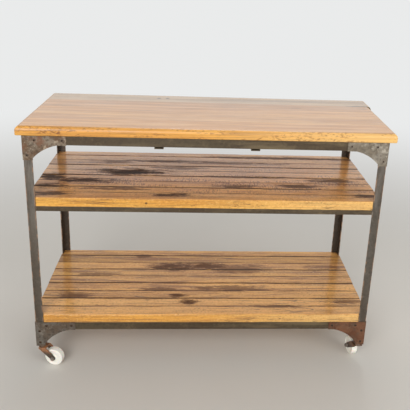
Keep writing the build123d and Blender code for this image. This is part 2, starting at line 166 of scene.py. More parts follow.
class Finish:
    """One procedural finish, built node by node."""

    def __init__(self, name):
        self.material = bpy.data.materials.new(name)
        self.material.use_nodes = True
        self.nodes = self.material.node_tree.nodes
        self.links = self.material.node_tree.links
        self.shader = self.nodes["Principled BSDF"]
        self.here = self.add("ShaderNodeTexCoord").outputs["Object"]

    def add(self, kind, settings=None, **inputs):
        """A node with its settings, and its inputs given as values or as other nodes' outputs."""
        made = self.nodes.new(kind)
        for key, value in (settings or {}).items():
            setattr(made, key, value)
        for key, value in inputs.items():
            self.feed(made.inputs[key.replace("_", " ")], value)
        return made

    def feed(self, socket, value):
        """Give a socket a value or join an output to it."""
        if isinstance(value, bpy.types.NodeSocket):
            self.links.new(value, socket)
        else:
            socket.default_value = value

    def place(self, stretch=(1, 1, 1), offset=(0, 0, 0), turn=(0, 0, 0), at=None):
        """Coordinates on the piece, moved, turned and scaled."""
        mapping = self.add("ShaderNodeMapping", Vector=at or self.here, Location=offset, Rotation=turn,
                           Scale=stretch)
        return mapping.outputs["Vector"]

    def noise(self, at, scale=1.0, detail=4.0, roughness=0.55):
        """Soft cloudy noise between 0 and 1."""
        made = self.add("ShaderNodeTexNoise", Vector=at, Scale=scale, Detail=detail, Roughness=roughness)
        return made.outputs["Fac"]

    def grain(self, stretch=(1, 1, 1), offset=(0, 0, 0), turn=(0, 0, 0), **look):
        """Cloudy noise stretched over the piece. The look is whatever noise takes besides its place."""
        return self.noise(self.place(stretch, offset, turn), **look)

    def sum(self, a, b, how="ADD"):
        """Arithmetic on one or two values."""
        made = self.nodes.new("ShaderNodeMath")
        made.operation = how
        self.feed(made.inputs[0], a)
        self.feed(made.inputs[1], b)
        return made.outputs[0]

    def times(self, a, b):
        """One value times another."""
        return self.sum(a, b, "MULTIPLY")

    def band(self, value, low, high, out_low=0.0, out_high=1.0):
        """A smooth step from out_low to out_high as value goes from low to high."""
        made = self.nodes.new("ShaderNodeMapRange")
        made.interpolation_type = "SMOOTHSTEP"
        for socket, given in zip(made.inputs[:5], (value, low, high, out_low, out_high)):
            self.feed(socket, given)
        return made.outputs["Result"]

    def near(self, value, place, reach):
        """1 where a value is at a place, 0 where it is a reach away."""
        return self.band(self.sum(self.sum(value, place, "SUBTRACT"), 0.0, "ABSOLUTE"), 0.0, reach, 1.0, 0.0)

    def blend(self, share, a, b):
        """One colour over another."""
        made = self.nodes.new("ShaderNodeMix")
        made.data_type = "RGBA"
        self.feed(made.inputs["Factor"], share)
        for socket, colour in ((made.inputs[6], a), (made.inputs[7], b)):
            self.feed(socket, colour if isinstance(colour, bpy.types.NodeSocket) else (*colour, 1))
        return made.outputs[2]

    def split(self, vector):
        """The three numbers of a vector."""
        return self.add("ShaderNodeSeparateXYZ", Vector=vector).outputs

    def length(self, vector):
        """How long a vector is."""
        return self.add("ShaderNodeVectorMath", {"operation": "LENGTH"}, Vector=vector).outputs["Value"]

    def facing(self):
        """The three numbers of the way that the surface faces."""
        return self.split(self.add("ShaderNodeNewGeometry").outputs["Normal"])

    def bump(self, height, depth, below=None):
        """A surface relief of that depth in metres, laid over another."""
        made = self.add("ShaderNodeBump", Strength=1.0, Distance=depth, Height=height)
        if below is not None:
            self.feed(made.inputs["Normal"], below)
        return made.outputs["Normal"]

    def set(self, **inputs):
        """Shader inputs by name."""
        for key, value in inputs.items():
            self.feed(self.shader.inputs[key.replace("_", " ")], value)


def growth_rings(finish, seed, centre):
    """Growth rings about a pith that runs along the board, a little askew: 0 early wood, 1 late wood."""
    depth = 0.03 + 0.06 * ((seed * 0.37) % 1)
    aside = 0.18 * ((seed * 0.61) % 1) - 0.09
    askew = 0.035 * ((seed * 0.23) % 1) - 0.017
    pith = finish.place(offset=(0, aside - centre.y, depth - centre.z), turn=(0, askew, askew * 0.6))
    wander = finish.place(stretch=(2.2, 16, 16), offset=(seed * 3.1, seed, 0))
    bend = finish.times(finish.noise(wander, detail=3.0), 0.014)
    y, z = finish.split(pith)[1:3]
    radius = finish.sum(finish.sum(finish.times(y, y), finish.times(z, z)), 0.5, "POWER")
    turns = finish.sum(finish.sum(radius, bend), year_width, "DIVIDE")
    saw = finish.sum(turns, 1.0, "FRACT")
    return finish.times(finish.band(saw, 0.25, 0.88), finish.band(saw, 0.93, 1.0, 1.0, 0.0))


def pine(finish, seed, centre, light, mid, dark, streak_depth):
    """Planed pine: clouds of tone, growth rings, dark streaks and fine fibres. Gives colour and relief."""
    clouds = finish.grain(stretch=(1.7, 14, 14), offset=(seed, 0, 0), detail=4.0)
    rings = growth_rings(finish, seed, centre)
    streaks = finish.grain(stretch=(4.5, 140, 140), offset=(0, seed, 0), detail=6.0, roughness=0.68)
    fibres = finish.grain(stretch=(10, 420, 420), offset=(seed, 0, seed), detail=3.0, roughness=0.7)
    colour = finish.blend(finish.band(clouds, 0.36, 0.64), light, mid)
    colour = finish.blend(finish.times(rings, 0.42), colour, tuple(0.62 * part for part in mid))
    colour = finish.blend(finish.band(streaks, 0.46, 0.68, 0.0, streak_depth), colour, dark)
    colour = finish.blend(finish.band(fibres, 0.45, 0.75, 0.0, 0.30), colour, dark)
    relief = finish.sum(finish.times(rings, 0.35), finish.times(fibres, 0.5))
    return colour, finish.sum(relief, finish.times(streaks, -0.4))


def knots(finish, seed):
    """A few scattered knots: 1 at a knot's heart, 0 away from it."""
    warped = finish.times(finish.grain(stretch=(40, 60, 60), detail=2.0), 0.10)
    field = finish.place(stretch=(6.5, 15, 3), offset=(seed * 1.7, seed * 2.3, 0))
    cells = finish.add("ShaderNodeTexVoronoi", Vector=field, Scale=1.0)
    chosen = finish.band(finish.split(cells.outputs["Color"])[0], 0.86, 0.87)
    heart = finish.band(finish.sum(cells.outputs["Distance"], warped), 0.10, 0.17, 1.0, 0.0)
    return finish.times(heart, chosen)


def drying_cracks(finish, seed):
    """Thin dark checks that run along the grain."""
    field = finish.grain(stretch=(2.2, 62, 62), offset=(seed, seed, 0), detail=3.0)
    line = finish.near(field, 0.5, 0.016)
    where = finish.grain(stretch=(5, 24, 24), offset=(0, seed, seed), detail=3.0)
    return finish.times(line, finish.band(where, 0.50, 0.60))


def pores(finish, seed, share):
    """Short dark dashes in drifts, where beetles and nails have been."""
    dashes = finish.grain(stretch=(120, 330, 330), offset=(seed, seed, 0), detail=3.0)
    drifts = finish.grain(stretch=(5, 22, 22), offset=(0, seed, 0), detail=4.0)
    return finish.times(finish.band(dashes, 0.60, 0.68), finish.band(drifts, 0.62 - share, 0.74 - share))


def smudges(finish, seed, places):
    """Ragged smudges about chosen places, which on the worktop also paint shadow along the opened split: each
    is x, y, half length and half width in mm, and strength.
    """
    broad = finish.grain(stretch=(12, 70, 70), offset=(seed, 0, 0), detail=4.0, roughness=0.6)
    fine = finish.grain(stretch=(42, 240, 240), offset=(0, seed, 0), detail=5.0, roughness=0.75)
    ragged = finish.sum(finish.times(broad, 0.65), finish.times(fine, 0.80))
    total = 0.0
    for x, y, half_length, half_width, strength in places:
        spread = (1 / (half_length * MM), 1 / (half_width * MM), 0)
        spot = finish.place(stretch=spread, offset=(-x / half_length, -y / half_width, 0))
        distance = finish.length(spot)
        reach = finish.sum(finish.times(distance, 0.30), ragged)
        total = finish.sum(total, finish.band(reach, 0.86, 1.07, strength, 0.0), "MAXIMUM")
    return total


def seam_dirt_and_shade(finish, seed, box, seams, reach, smudged=0.0):
    """Dirt along a board's seams, wider where it is smudged, and on the worktop also the painted shade on the
    faces inside the seams: seams are the front and the rear one, if any.
    """
    low, high = box
    y = finish.split(finish.here)[1]
    ragged = finish.grain(stretch=(6, 40, 40), offset=(seed, 0, 0), detail=6.0, roughness=0.72)
    width = finish.band(ragged, 0.38, 0.62, 0.18 * reach, 1.9 * reach)
    width = finish.sum(width, finish.times(smudged, 2.0 * reach))
    soil = 0.0
    for place, there in ((low.y, seams[0]), (high.y, seams[1])):
        if there:
            away = finish.sum(finish.sum(y, place, "SUBTRACT"), 0.0, "ABSOLUTE")
            soil = finish.sum(soil, finish.band(away, 0.0, width, 1.0, 0.0), "MAXIMUM")
    return soil


def painted_sheen_right(finish, up):
    """Painted sheen: fronts and nosings grow paler towards the trolley's right end."""
    share = finish.band(finish.split(finish.here)[0], -0.15, 0.50, 0.0, 0.44)
    return finish.times(share, finish.band(up, 0.0, 1.0, 1.0, 0.0))


def saw_marks(finish, seed):
    """Patches where the mill's saw left short dark ticks across the board."""
    ticks = finish.grain(stretch=(210, 50, 50), offset=(seed, seed, 0), detail=3.0, roughness=0.6)
    patches = finish.grain(stretch=(4, 22, 22), offset=(0, 0, seed), detail=3.0)
    return finish.times(finish.band(ticks, 0.46, 0.60), finish.band(patches, 0.47, 0.60))


def end_grain(finish):
    """1 on a board's sawn ends."""
    return finish.band(finish.sum(finish.facing()[0], 0.0, "ABSOLUTE"), 0.70, 0.92)


def front_marks(finish, marks):
    """Knots and cracks on a front: each is x and z in mm, half length, half width, turn and strength."""
    ragged = finish.times(finish.grain(stretch=(150, 150, 150), detail=3.0), 0.7)
    total = 0.0
    for x, z, half_length, half_width, turn, strength in marks:
        back = (-x * math.cos(turn) - z * math.sin(turn), 0, x * math.sin(turn) - z * math.cos(turn))
        turned = finish.place(turn=(0, turn, 0), offset=[part * MM for part in back])
        spot = finish.place(stretch=(1 / (half_length * MM), 0, 1 / (half_width * MM)), at=turned)
        distance = finish.length(spot)
        dark = finish.band(finish.sum(distance, ragged), 0.85, 1.25, strength, 0.0)
        total = finish.sum(total, dark, "MAXIMUM")
    return finish.times(total, finish.band(finish.facing()[1], -0.9, -0.6, 1.0, 0.0))


def shelf_timber(name, seed, box, seams, browned, marks, front):
    """Reclaimed pine under gloss varnish: honey fronts, and browner worn tops with streaks, smudges and dirt.

    browned holds the top's two tones, how deep the second goes, the smudges' tone, the gloss, and the shares
    of saw marks and of dark streaks. front holds the pine's two tones and the marks on the front.
    """
    finish = Finish(name)
    centre = (box[0] + box[1]) / 2
    colour, relief = pine(finish, seed, centre, *front[0], umber, 0.50)
    up = finish.band(finish.facing()[2], 0.55, 0.95)
    # Painted sheen on the fronts, paler towards the right end
    colour = finish.blend(painted_sheen_right(finish, up), colour, pale_honey)
    pale, shade, depth, stained, gloss, sawn, streaky = browned
    colour = finish.blend(finish.times(up, 0.6), colour, pale)
    worn = finish.grain(stretch=(2.4, 24, 24), offset=(0, 0, seed), detail=6.0, roughness=0.62)
    colour = finish.blend(finish.times(up, finish.band(worn, 0.38, 0.66, 0.0, depth)), colour, shade)
    streaks = finish.grain(stretch=(6, 170, 170), offset=(seed, seed, 0), detail=6.0, roughness=0.7)
    dark_streaks = finish.band(streaks, 0.50, 0.64)
    dark_streaks = finish.times(dark_streaks, finish.band(worn, 0.50 - 0.15 * streaky, 0.58))
    lines = finish.grain(stretch=(3.2, 80, 80), offset=(seed, 4, 0), detail=5.0, roughness=0.62)
    lines = finish.times(up, finish.band(lines, 0.55, 0.63, 0.0, streaky))
    dark_streaks = finish.sum(dark_streaks, lines, "MAXIMUM")
    colour = finish.blend(finish.times(dark_streaks, streaky), colour, umber)
    mottle = finish.grain(stretch=(120, 130, 170), offset=(seed, 0, seed), detail=4.0, roughness=0.7)
    colour = finish.blend(finish.band(mottle, 0.50, 0.72, 0.0, 0.65), colour, amber_brown)
    colour = finish.blend(finish.band(mottle, 0.26, 0.46, 0.42, 0.0), colour, pale_honey)
    if sawn:
        ticks = finish.times(up, finish.times(saw_marks(finish, seed), sawn))
        colour = finish.blend(ticks, colour, red_brown)
    colour = finish.blend(finish.times(pores(finish, seed, 0.10), 0.80), colour, pore_brown)
    colour = finish.blend(finish.times(knots(finish, seed), 0.70), colour, knot_brown)
    colour = finish.blend(finish.times(drying_cracks(finish, seed), 0.80), colour, soot_and_shade)
    stain = 0.0
    if marks:
        stain = finish.times(smudges(finish, seed, marks), up)
        colour = finish.blend(finish.band(stain, 0.0, 0.45, 0.0, 0.40), colour, red_brown)
        colour = finish.blend(stain, colour, stained)
        relief = finish.sum(relief, finish.times(stain, -0.5))
    if front[1]:
        colour = finish.blend(front_marks(finish, front[1]), colour, pore_brown)
    soil = seam_dirt_and_shade(finish, seed, box, seams, shelf_soil_reach, stain)
    colour = finish.blend(finish.times(soil, 0.92), colour, finish.blend(soil, umber, soot_and_shade))
    bare = finish.sum(stain, finish.times(soil, 0.8), "MAXIMUM")
    colour = finish.blend(finish.times(end_grain(finish), 0.45), colour, umber)
    wear = finish.grain(stretch=(12, 30, 30), detail=4.0)
    rough = finish.sum(finish.band(wear, 0.3, 0.75, 0.28, 0.46), finish.times(bare, 0.35))
    finish.set(Base_Color=colour, Roughness=rough, IOR=1.32)
    finish.set(Coat_Weight=finish.band(bare, 0.0, 0.9, gloss, 0.04), Coat_Roughness=0.13)
    coarse = finish.grain(stretch=(5, 34, 34), offset=(seed, 0, 0), detail=2.0)
    wave = finish.bump(coarse, board_wave)
    finish.set(Normal=finish.bump(relief, board_relief, wave))
    finish.set(Coat_Normal=finish.bump(relief, board_coat_relief, wave))
    return finish.material


def worktop_timber(name, seed, box, seams, top_tones, marks, nosing_marks):
    """Sanded pine under a clear coat: honey brown and streaked on top, honey with flecks on the nosing."""
    finish = Finish(name)
    centre = (box[0] + box[1]) / 2
    side, side_relief = pine(finish, seed, centre, honey, amber, umber, 0.42)
    drifts = finish.grain(stretch=(7, 30, 60), offset=(seed, 0, 0), turn=(0, 0.35, 0), detail=5.0)
    flecks = finish.grain(stretch=(90, 240, 200), offset=(seed, 0, 0), turn=(0, 0.5, 0), detail=4.0)
    flecks = finish.times(finish.band(flecks, 0.50, 0.64), finish.band(drifts, 0.42, 0.56))
    # Painted sheen on the nosing, paler towards the right end
    side = finish.blend(painted_sheen_right(finish, 0.0), side, pale_honey)
    side = finish.blend(finish.times(flecks, 0.65), side, fleck_brown)
    if nosing_marks:
        side = finish.blend(front_marks(finish, nosing_marks), side, fleck_brown)
    light, mid, dark = top_tones
    streaks = finish.grain(stretch=(1.8, 44, 44), offset=(seed, 0, 0), detail=6.0, roughness=0.62)
    lines = finish.grain(stretch=(6, 230, 230), offset=(0, seed, 0), detail=5.0, roughness=0.68)
    top = finish.blend(finish.band(streaks, 0.36, 0.64), light, mid)
    top = finish.blend(finish.band(lines, 0.48, 0.70, 0.0, 0.60), top, dark)
    top = finish.blend(finish.times(pores(finish, seed, 0.04), 0.5), top, umber)
    top = finish.blend(finish.times(drying_cracks(finish, seed), 0.35), top, umber)
    if marks:
        # Smudges, and painted shadow along the opened split at the right end
        top = finish.blend(smudges(finish, seed, marks), top, soot_and_shade)
    soil = seam_dirt_and_shade(finish, seed, box, seams, worktop_soil_reach)
    top = finish.blend(finish.times(soil, 0.40), top, umber)
    facing = finish.facing()
    up = facing[2]
    # Painted shade on the faces inside the seams and the opened split
    painted_seam_shade = seam_dirt_and_shade(finish, seed, box, seams, worktop_seam_shade)
    painted_seam_shade = finish.times(painted_seam_shade, finish.band(up, 0.2, 0.6, 1.0, 0.0))
    painted_seam_shade = finish.times(painted_seam_shade, finish.band(finish.sum(facing[1], 0.0, "ABSOLUTE"), 0.90, 0.98))
    side = finish.blend(finish.times(painted_seam_shade, 0.92), side, soot_and_shade)
    colour = finish.blend(finish.band(up, 0.93, 0.995), side, top)
    # Painted shade: a darker brown line where the top rounds over into the nosing, placed by the way the
    # surface faces
    painted_arris_shade = finish.near(up, 0.955, 0.05)
    colour = finish.blend(finish.times(painted_arris_shade, 0.80), colour, arris_shade_brown)
    colour = finish.blend(finish.times(end_grain(finish), 0.30), colour, umber)
    wear = finish.grain(stretch=(8, 26, 26), detail=4.0)
    finish.set(Base_Color=colour, Roughness=finish.band(wear, 0.3, 0.75, 0.32, 0.48), IOR=1.5)
    finish.set(Coat_Weight=finish.band(up, 0.93, 0.995, 0.18, 0.9), Coat_Roughness=0.22, Coat_IOR=1.6)
    coarse = finish.grain(stretch=(5, 30, 30), offset=(seed, 0, 0), detail=2.0)
    wave = finish.bump(coarse, worktop_wave)
    finish.set(Normal=finish.bump(side_relief, worktop_relief, wave))
    finish.set(Coat_Normal=finish.bump(side_relief, worktop_coat_relief, wave))
    return finish.material


def steel_colour(finish, grey, brown, rust_share, at, seed, contrast=1.0):
    """Mill scale with brown patina, pale rubs and rust blooms. Gives colour, rust and mottle."""
    darker, rubbed = tuple(0.5 * part for part in brown), tuple(1.9 * part for part in grey)
    patina = finish.noise(at, 14.0, detail=8.0, roughness=0.65)
    colour = finish.blend(finish.band(patina, 0.36, 0.64), grey, brown)
    mottle = finish.grain(offset=(seed, 0, 0), scale=95.0, detail=6.0, roughness=0.7)
    colour = finish.blend(finish.band(mottle, 0.46, 0.64, 0.0, 0.45 * contrast), colour, darker)
    pale = finish.grain(offset=(seed, 2, 0), scale=38.0, detail=7.0, roughness=0.72)
    colour = finish.blend(finish.band(pale, 0.54, 0.68, 0.0, 0.5 * contrast), colour, rubbed)
    bloom = finish.grain(offset=(3, 1, 2 + seed), scale=21.0, detail=9.0, roughness=0.7)
    rust = finish.band(bloom, 0.66 - rust_share, 0.76 - rust_share)
    rust = finish.times(rust, finish.band(mottle, 0.38, 0.60, 0.25, 1.0))
    colour = finish.blend(finish.times(rust, 0.85), colour, finish.blend(mottle, rust_orange, rust_brown))
    return colour, rust, mottle


def steel_shader(finish, colour, rust, mottle, metallic):
    """Raw steel under clear lacquer."""
    finish.set(Base_Color=colour, Metallic=finish.band(rust, 0.0, 1.0, metallic, 0.05))
    finish.set(Roughness=finish.band(mottle, 0.3, 0.75, 0.38, 0.58), Coat_Weight=0.18, Coat_Roughness=0.25)
    pits = finish.sum(finish.times(mottle, 0.5), finish.times(rust, 0.5))
    finish.set(Normal=finish.bump(pits, steel_pits))
    return finish.material


def worn_steel(name, grey, brown, rust_share, lengthwise):
    """Angle iron and pressed steel: streaks along the bar, patina and rust."""
    finish = Finish(name)
    colour, rust, mottle = steel_colour(finish, grey, brown, rust_share, finish.place(stretch=lengthwise), 0)
    rubs = finish.grain(stretch=lengthwise, offset=(5, 5, 5), scale=26.0, detail=6.0, roughness=0.7)
    rubs = finish.band(rubs, 0.44, 0.66)
    # The pale streaks grow stronger towards the trolley's right end
    rubs = finish.times(rubs, finish.band(finish.split(finish.here)[0], -0.5, 0.4, 0.25, 0.85))
    colour = finish.blend(rubs, colour, tuple(2.1 * part for part in grey))
    return steel_shader(finish, colour, rust, mottle, 0.45)


def post_steel(name, box, side_x, side_y):
    """A post: as the other angle iron, with paint and scale knocked off its heel and its legs' edges."""
    finish = Finish(name)
    streaked = finish.place(stretch=(1, 1, 0.12), offset=(side_x, side_y, 0))
    grey, brown = (0.104, 0.090, 0.072), (0.080, 0.058, 0.039)
    # The rear posts are darker: partly browner, oilier scale, and partly painted shade on their unlit faces
    if side_y > 0:
        grey, brown = (0.070, 0.055, 0.040), (0.050, 0.034, 0.022)
    colour, rust, mottle = steel_colour(finish, grey, brown, 0.01, streaked, side_x)
    x, y, z = finish.split(finish.here)
    rubs = finish.noise(streaked, 30.0, detail=6.0, roughness=0.7)
    rubs = finish.times(finish.band(rubs, 0.42, 0.66), finish.band(z, 0.30, 0.70, 0.12, 0.62))
    colour = finish.blend(rubs, colour, (2.0 * grey[0], 2.0 * grey[1], 2.1 * grey[2]))
    low, high = box
    heel_x, tip_x = (low.x, high.x) if side_x < 0 else (high.x, low.x)
    heel_y, tip_y = (low.y, high.y) if side_y < 0 else (high.y, low.y)
    tips = finish.sum(finish.near(x, tip_x, chipped_reach), finish.near(y, tip_y, chipped_reach), "MAXIMUM")
    heel = finish.times(finish.near(x, heel_x, chipped_reach), finish.near(y, heel_y, chipped_reach))
    chips = finish.grain(stretch=(90, 90, 38), detail=6.0, roughness=0.7)
    worn = finish.times(finish.sum(tips, heel, "MAXIMUM"), finish.band(chips, 0.47, 0.56))
    colour = finish.blend(finish.times(worn, 0.85), colour, finish.blend(mottle, bared_edge, rust_orange))
    return steel_shader(finish, colour, finish.sum(rust, worn, "MAXIMUM"), mottle, 0.45)


def bracket_steel(name, left, right):
    """Sheet steel brackets: the left-hand and the right-hand ones have browned and rusted differently."""
    finish = Finish(name)
    across = finish.band(finish.split(finish.here)[0], -0.1, 0.1)
    one, rust_one, mottle = steel_colour(finish, *left, finish.place(stretch=(2, 2, 2)), 0, 1.7)
    other, rust_other, _ = steel_colour(finish, *right, finish.place(stretch=(2, 2, 2)), 5, 1.5)
    colour = finish.blend(across, one, other)
    back_across = finish.band(across, 0.0, 1.0, 1.0, 0.0)
    rust = finish.sum(finish.times(rust_other, across), finish.times(rust_one, back_across))
    return steel_shader(finish, colour, rust, mottle, 0.35)


def fork_steel():
    """Pressed forks: bright rust about the left casters' crowns, dark and oily towards the axles."""
    finish = Finish("caster_steel")
    grey, brown = (0.100, 0.072, 0.050), (0.066, 0.040, 0.025)
    colour, rust, mottle = steel_colour(finish, grey, brown, 0.06, finish.here, 0)
    x, _, z = finish.split(finish.here)
    crown = finish.times(finish.band(z, 0.044, 0.062), finish.band(x, -0.1, 0.1, 1.0, 0.35))
    bloom = finish.times(crown, finish.band(mottle, 0.36, 0.60, 0.35, 1.0))
    colour = finish.blend(finish.times(bloom, 0.85), colour, crown_rust)
    return steel_shader(finish, colour, finish.sum(rust, bloom, "MAXIMUM"), mottle, 0.35)


def rivet_steel():
    """Rivet heads: a pale rubbed ring about a dark centre, with a darker rim; the dark centre and the rim are
    painted shade, placed by the way the dome faces.
    """
    finish = Finish("rivet_steel")
    x, y, _ = finish.facing()
    out = finish.sum(finish.sum(x, 0.0, "ABSOLUTE"), finish.sum(y, 0.0, "ABSOLUTE"), "MAXIMUM")
    mottle = finish.noise(finish.here, 180.0, detail=5.0, roughness=0.7)
    pale, dull, browned = (0.30, 0.26, 0.21), (0.15, 0.11, 0.08), (0.085, 0.055, 0.036)
    painted_dark_centre, rim = (0.034, 0.020, 0.013), (0.05, 0.032, 0.022)
    ring = finish.blend(mottle, pale, dull)
    across, _, height = finish.split(finish.here)
    rubbed = finish.times(finish.band(height, 0.3, 0.6), finish.band(across, -0.1, 0.1, 0.35, 1.0))
    ring = finish.blend(rubbed, browned, ring)
    # Painted shade at the dome's middle, and at its rim above and below
    colour = finish.blend(finish.band(out, 0.86, 0.92), ring, painted_dark_centre)
    colour = finish.blend(finish.band(out, 0.60, 0.70, 1.0, 0.0), colour, rim)
    finish.set(Base_Color=colour, Metallic=0.1, Roughness=0.78, IOR=1.25)
    finish.set(Normal=finish.bump(mottle, rivet_pits))
    return finish.material


def nylon():
    """Off-white moulded nylon with a little floor dirt rolled into the tread."""
    finish = Finish("wheel_nylon")
    white, cream, dirty = (0.93, 0.90, 0.82), (0.88, 0.85, 0.76), (0.50, 0.45, 0.37)
    cloud = finish.noise(finish.here, 60.0, detail=5.0)
    colour = finish.blend(cloud, white, cream)
    dirt = finish.band(finish.noise(finish.here, 130.0, detail=6.0, roughness=0.7), 0.62, 0.80, 0.0, 0.35)
    colour = finish.blend(dirt, colour, dirty)
    finish.set(Base_Color=colour, Roughness=0.34, Subsurface_Weight=0.15, Subsurface_Scale=0.004, IOR=1.5)
    finish.set(Normal=finish.bump(cloud, nylon_relief))
    return finish.material


def seen_rays(nodes, links):
    """1 for the rays of the camera, of gloss and through glass, 0 for the rays that light things."""
    path = nodes.new("ShaderNodeLightPath")
    seen = path.outputs["Is Camera Ray"]
    for ray in ("Is Glossy Ray", "Is Transmission Ray"):
        most = nodes.new("ShaderNodeMath")
        most.operation = "MAXIMUM"
        links.new(seen, most.inputs[0])
        links.new(path.outputs[ray], most.inputs[1])
        seen = most.outputs[0]
    return seen


def pale_floor():
    """A plain pale floor under the trolley that goes over into the pale background further out."""
    finish = Finish("pale_floor")
    cloud = finish.noise(finish.here, 3.0, detail=4.0)
    finish.set(Base_Color=finish.blend(cloud, (0.67, 0.64, 0.59), (0.64, 0.61, 0.56)), Roughness=0.7)
    distance = finish.length(finish.place(stretch=(0.8, 1, 1)))
    far = finish.band(distance, 0.7, 3.4)
    glow = finish.add("ShaderNodeEmission", Color=(*background, 1))
    seen = seen_rays(finish.nodes, finish.links)
    finish.feed(glow.inputs["Strength"], finish.band(seen, 0.0, 1.0, floor_edge_light, 1.0))
    joined = finish.nodes.new("ShaderNodeMixShader")
    finish.feed(joined.inputs["Fac"], far)
    finish.links.new(finish.shader.outputs["BSDF"], joined.inputs[1])
    finish.links.new(glow.outputs["Emission"], joined.inputs[2])
    finish.links.new(joined.outputs["Shader"], finish.nodes["Material Output"].inputs["Surface"])
    return finish.material


def new_block(name, low, high):
    """A block between two corners, with its place in its mesh."""
    bpy.ops.object.select_all(action="DESELECT")
    size = high - low
    bpy.ops.mesh.primitive_cube_add(size=1, location=(low + high) / 2, scale=size)
    block = bpy.context.object
    block.name = name
    block.data.name = name
    bpy.ops.object.transform_apply(location=True, rotation=True, scale=True)
    return block


def pick(piece, kind, wanted):
    """In edit mode, select the vertices, edges or faces that wanted() accepts."""
    bpy.ops.mesh.select_all(action="DESELECT")
    bpy.ops.mesh.select_mode(type=kind)
    mesh = bmesh.from_edit_mesh(piece.data)
    for element in {"VERT": mesh.verts, "EDGE": mesh.edges, "FACE": mesh.faces}[kind]:
        element.select_set(wanted(element))
    bmesh.update_edit_mesh(piece.data)


def runs_along(edge, axis):
    """True for an edge parallel to an axis."""
    way = edge.verts[1].co - edge.verts[0].co
    return abs(way[axis]) > parallel * way.length


def is_sharp(edge):
    """True where two faces meet at an angle."""
    return len(edge.link_faces) == 2 and edge.calc_face_angle() > sharp_angle


def at(edge, axis, value):
    """True where an edge's middle lies on a plane."""
    middle = (edge.verts[0].co[axis] + edge.verts[1].co[axis]) / 2
    return abs(middle - value) < on_plane


def nest_corners(board, low, high, side):
    """Draw a board's ends out in two steps round the posts' legs, so that its corners nest in the angles."""
    edge = low.y if side < 0 else high.y
    steps = ((edge - side * slot_at_edge, slot_length - slot_at_end), (edge - side * slot_depth, slot_at_end))
    for line, _ in steps:
        bpy.ops.mesh.select_all(action="SELECT")
        bpy.ops.mesh.bisect(plane_co=(0, line, 0), plane_no=(0, 1, 0))
    for way, end in ((-1, low.x + slot_length), (1, high.x - slot_length)):
        for line, step in steps:
            pick(board, "FACE", lambda face: abs(face.calc_center_median().x - end) < on_plane
                 and (face.calc_center_median().y - line) * side < 0)
            bpy.ops.mesh.extrude_region_move(TRANSFORM_OT_translate={"value": (way * step, 0, 0)})
            end += way * step


def smooth(piece):
    """Smooth shading over the rounds that leaves the flats flat."""
    bpy.ops.object.shade_smooth_by_angle(angle=smooth_angle)
    weigh = piece.modifiers.new("flats", "WEIGHTED_NORMAL")
    weigh.keep_sharp = True
    bpy.ops.object.modifier_apply(modifier=weigh.name)


def wear_board(board, sink):
    """Make a board's edges wander, its faces lie a little uneven and its top sink below its neighbours'."""
    top = max(vertex.co.z for vertex in board.data.vertices)
    for vertex in board.data.vertices:
        if vertex.co.z > top - worn_depth:
            vertex.co.z -= sink
    for axis, strength, rest, size in board_pushes:
        cloud = bpy.data.textures.new(f"{board.name}_{axis}_{size}", "CLOUDS")
        cloud.noise_scale = size
        push = board.modifiers.new(axis, "DISPLACE")
        push.texture = cloud
        push.texture_coords = "GLOBAL"
        push.direction = axis
        push.strength = strength
        push.mid_level = rest
        bpy.ops.object.modifier_apply(modifier=push.name)


def shelf_board(name, is_front, is_rear, sink):
    """One shelf board: eased arrises, corners cut round the posts' legs, edges that aren't quite straight."""
    low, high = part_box(name)
    body_low, body_high = low.copy(), high.copy()
    if is_front or is_rear:
        body_low.x += slot_length
        body_high.x -= slot_length
    board = new_block(name + "_board", body_low, body_high)
    bpy.ops.object.mode_set(mode="EDIT")
    pick(board, "EDGE", lambda edge: runs_along(edge, 0))
    bpy.ops.mesh.subdivide(number_cuts=board_cuts)
    if is_front or is_rear:
        nest_corners(board, low, high, -1 if is_front else 1)
    if is_front:
        pick(board, "EDGE", lambda edge: is_sharp(edge) and runs_along(edge, 0)
             and at(edge, 2, high.z) and at(edge, 1, low.y))
        bpy.ops.mesh.bevel(offset=shelf_front_radius, segments=shelf_front_segments)
    pick(board, "EDGE", is_sharp)
    bpy.ops.mesh.bevel(offset=worn_radius, segments=worn_segments)
    bpy.ops.object.mode_set(mode="OBJECT")
    wear_board(board, sink)
    smooth(board)
    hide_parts(name)
    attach(board, "frame")
    return board


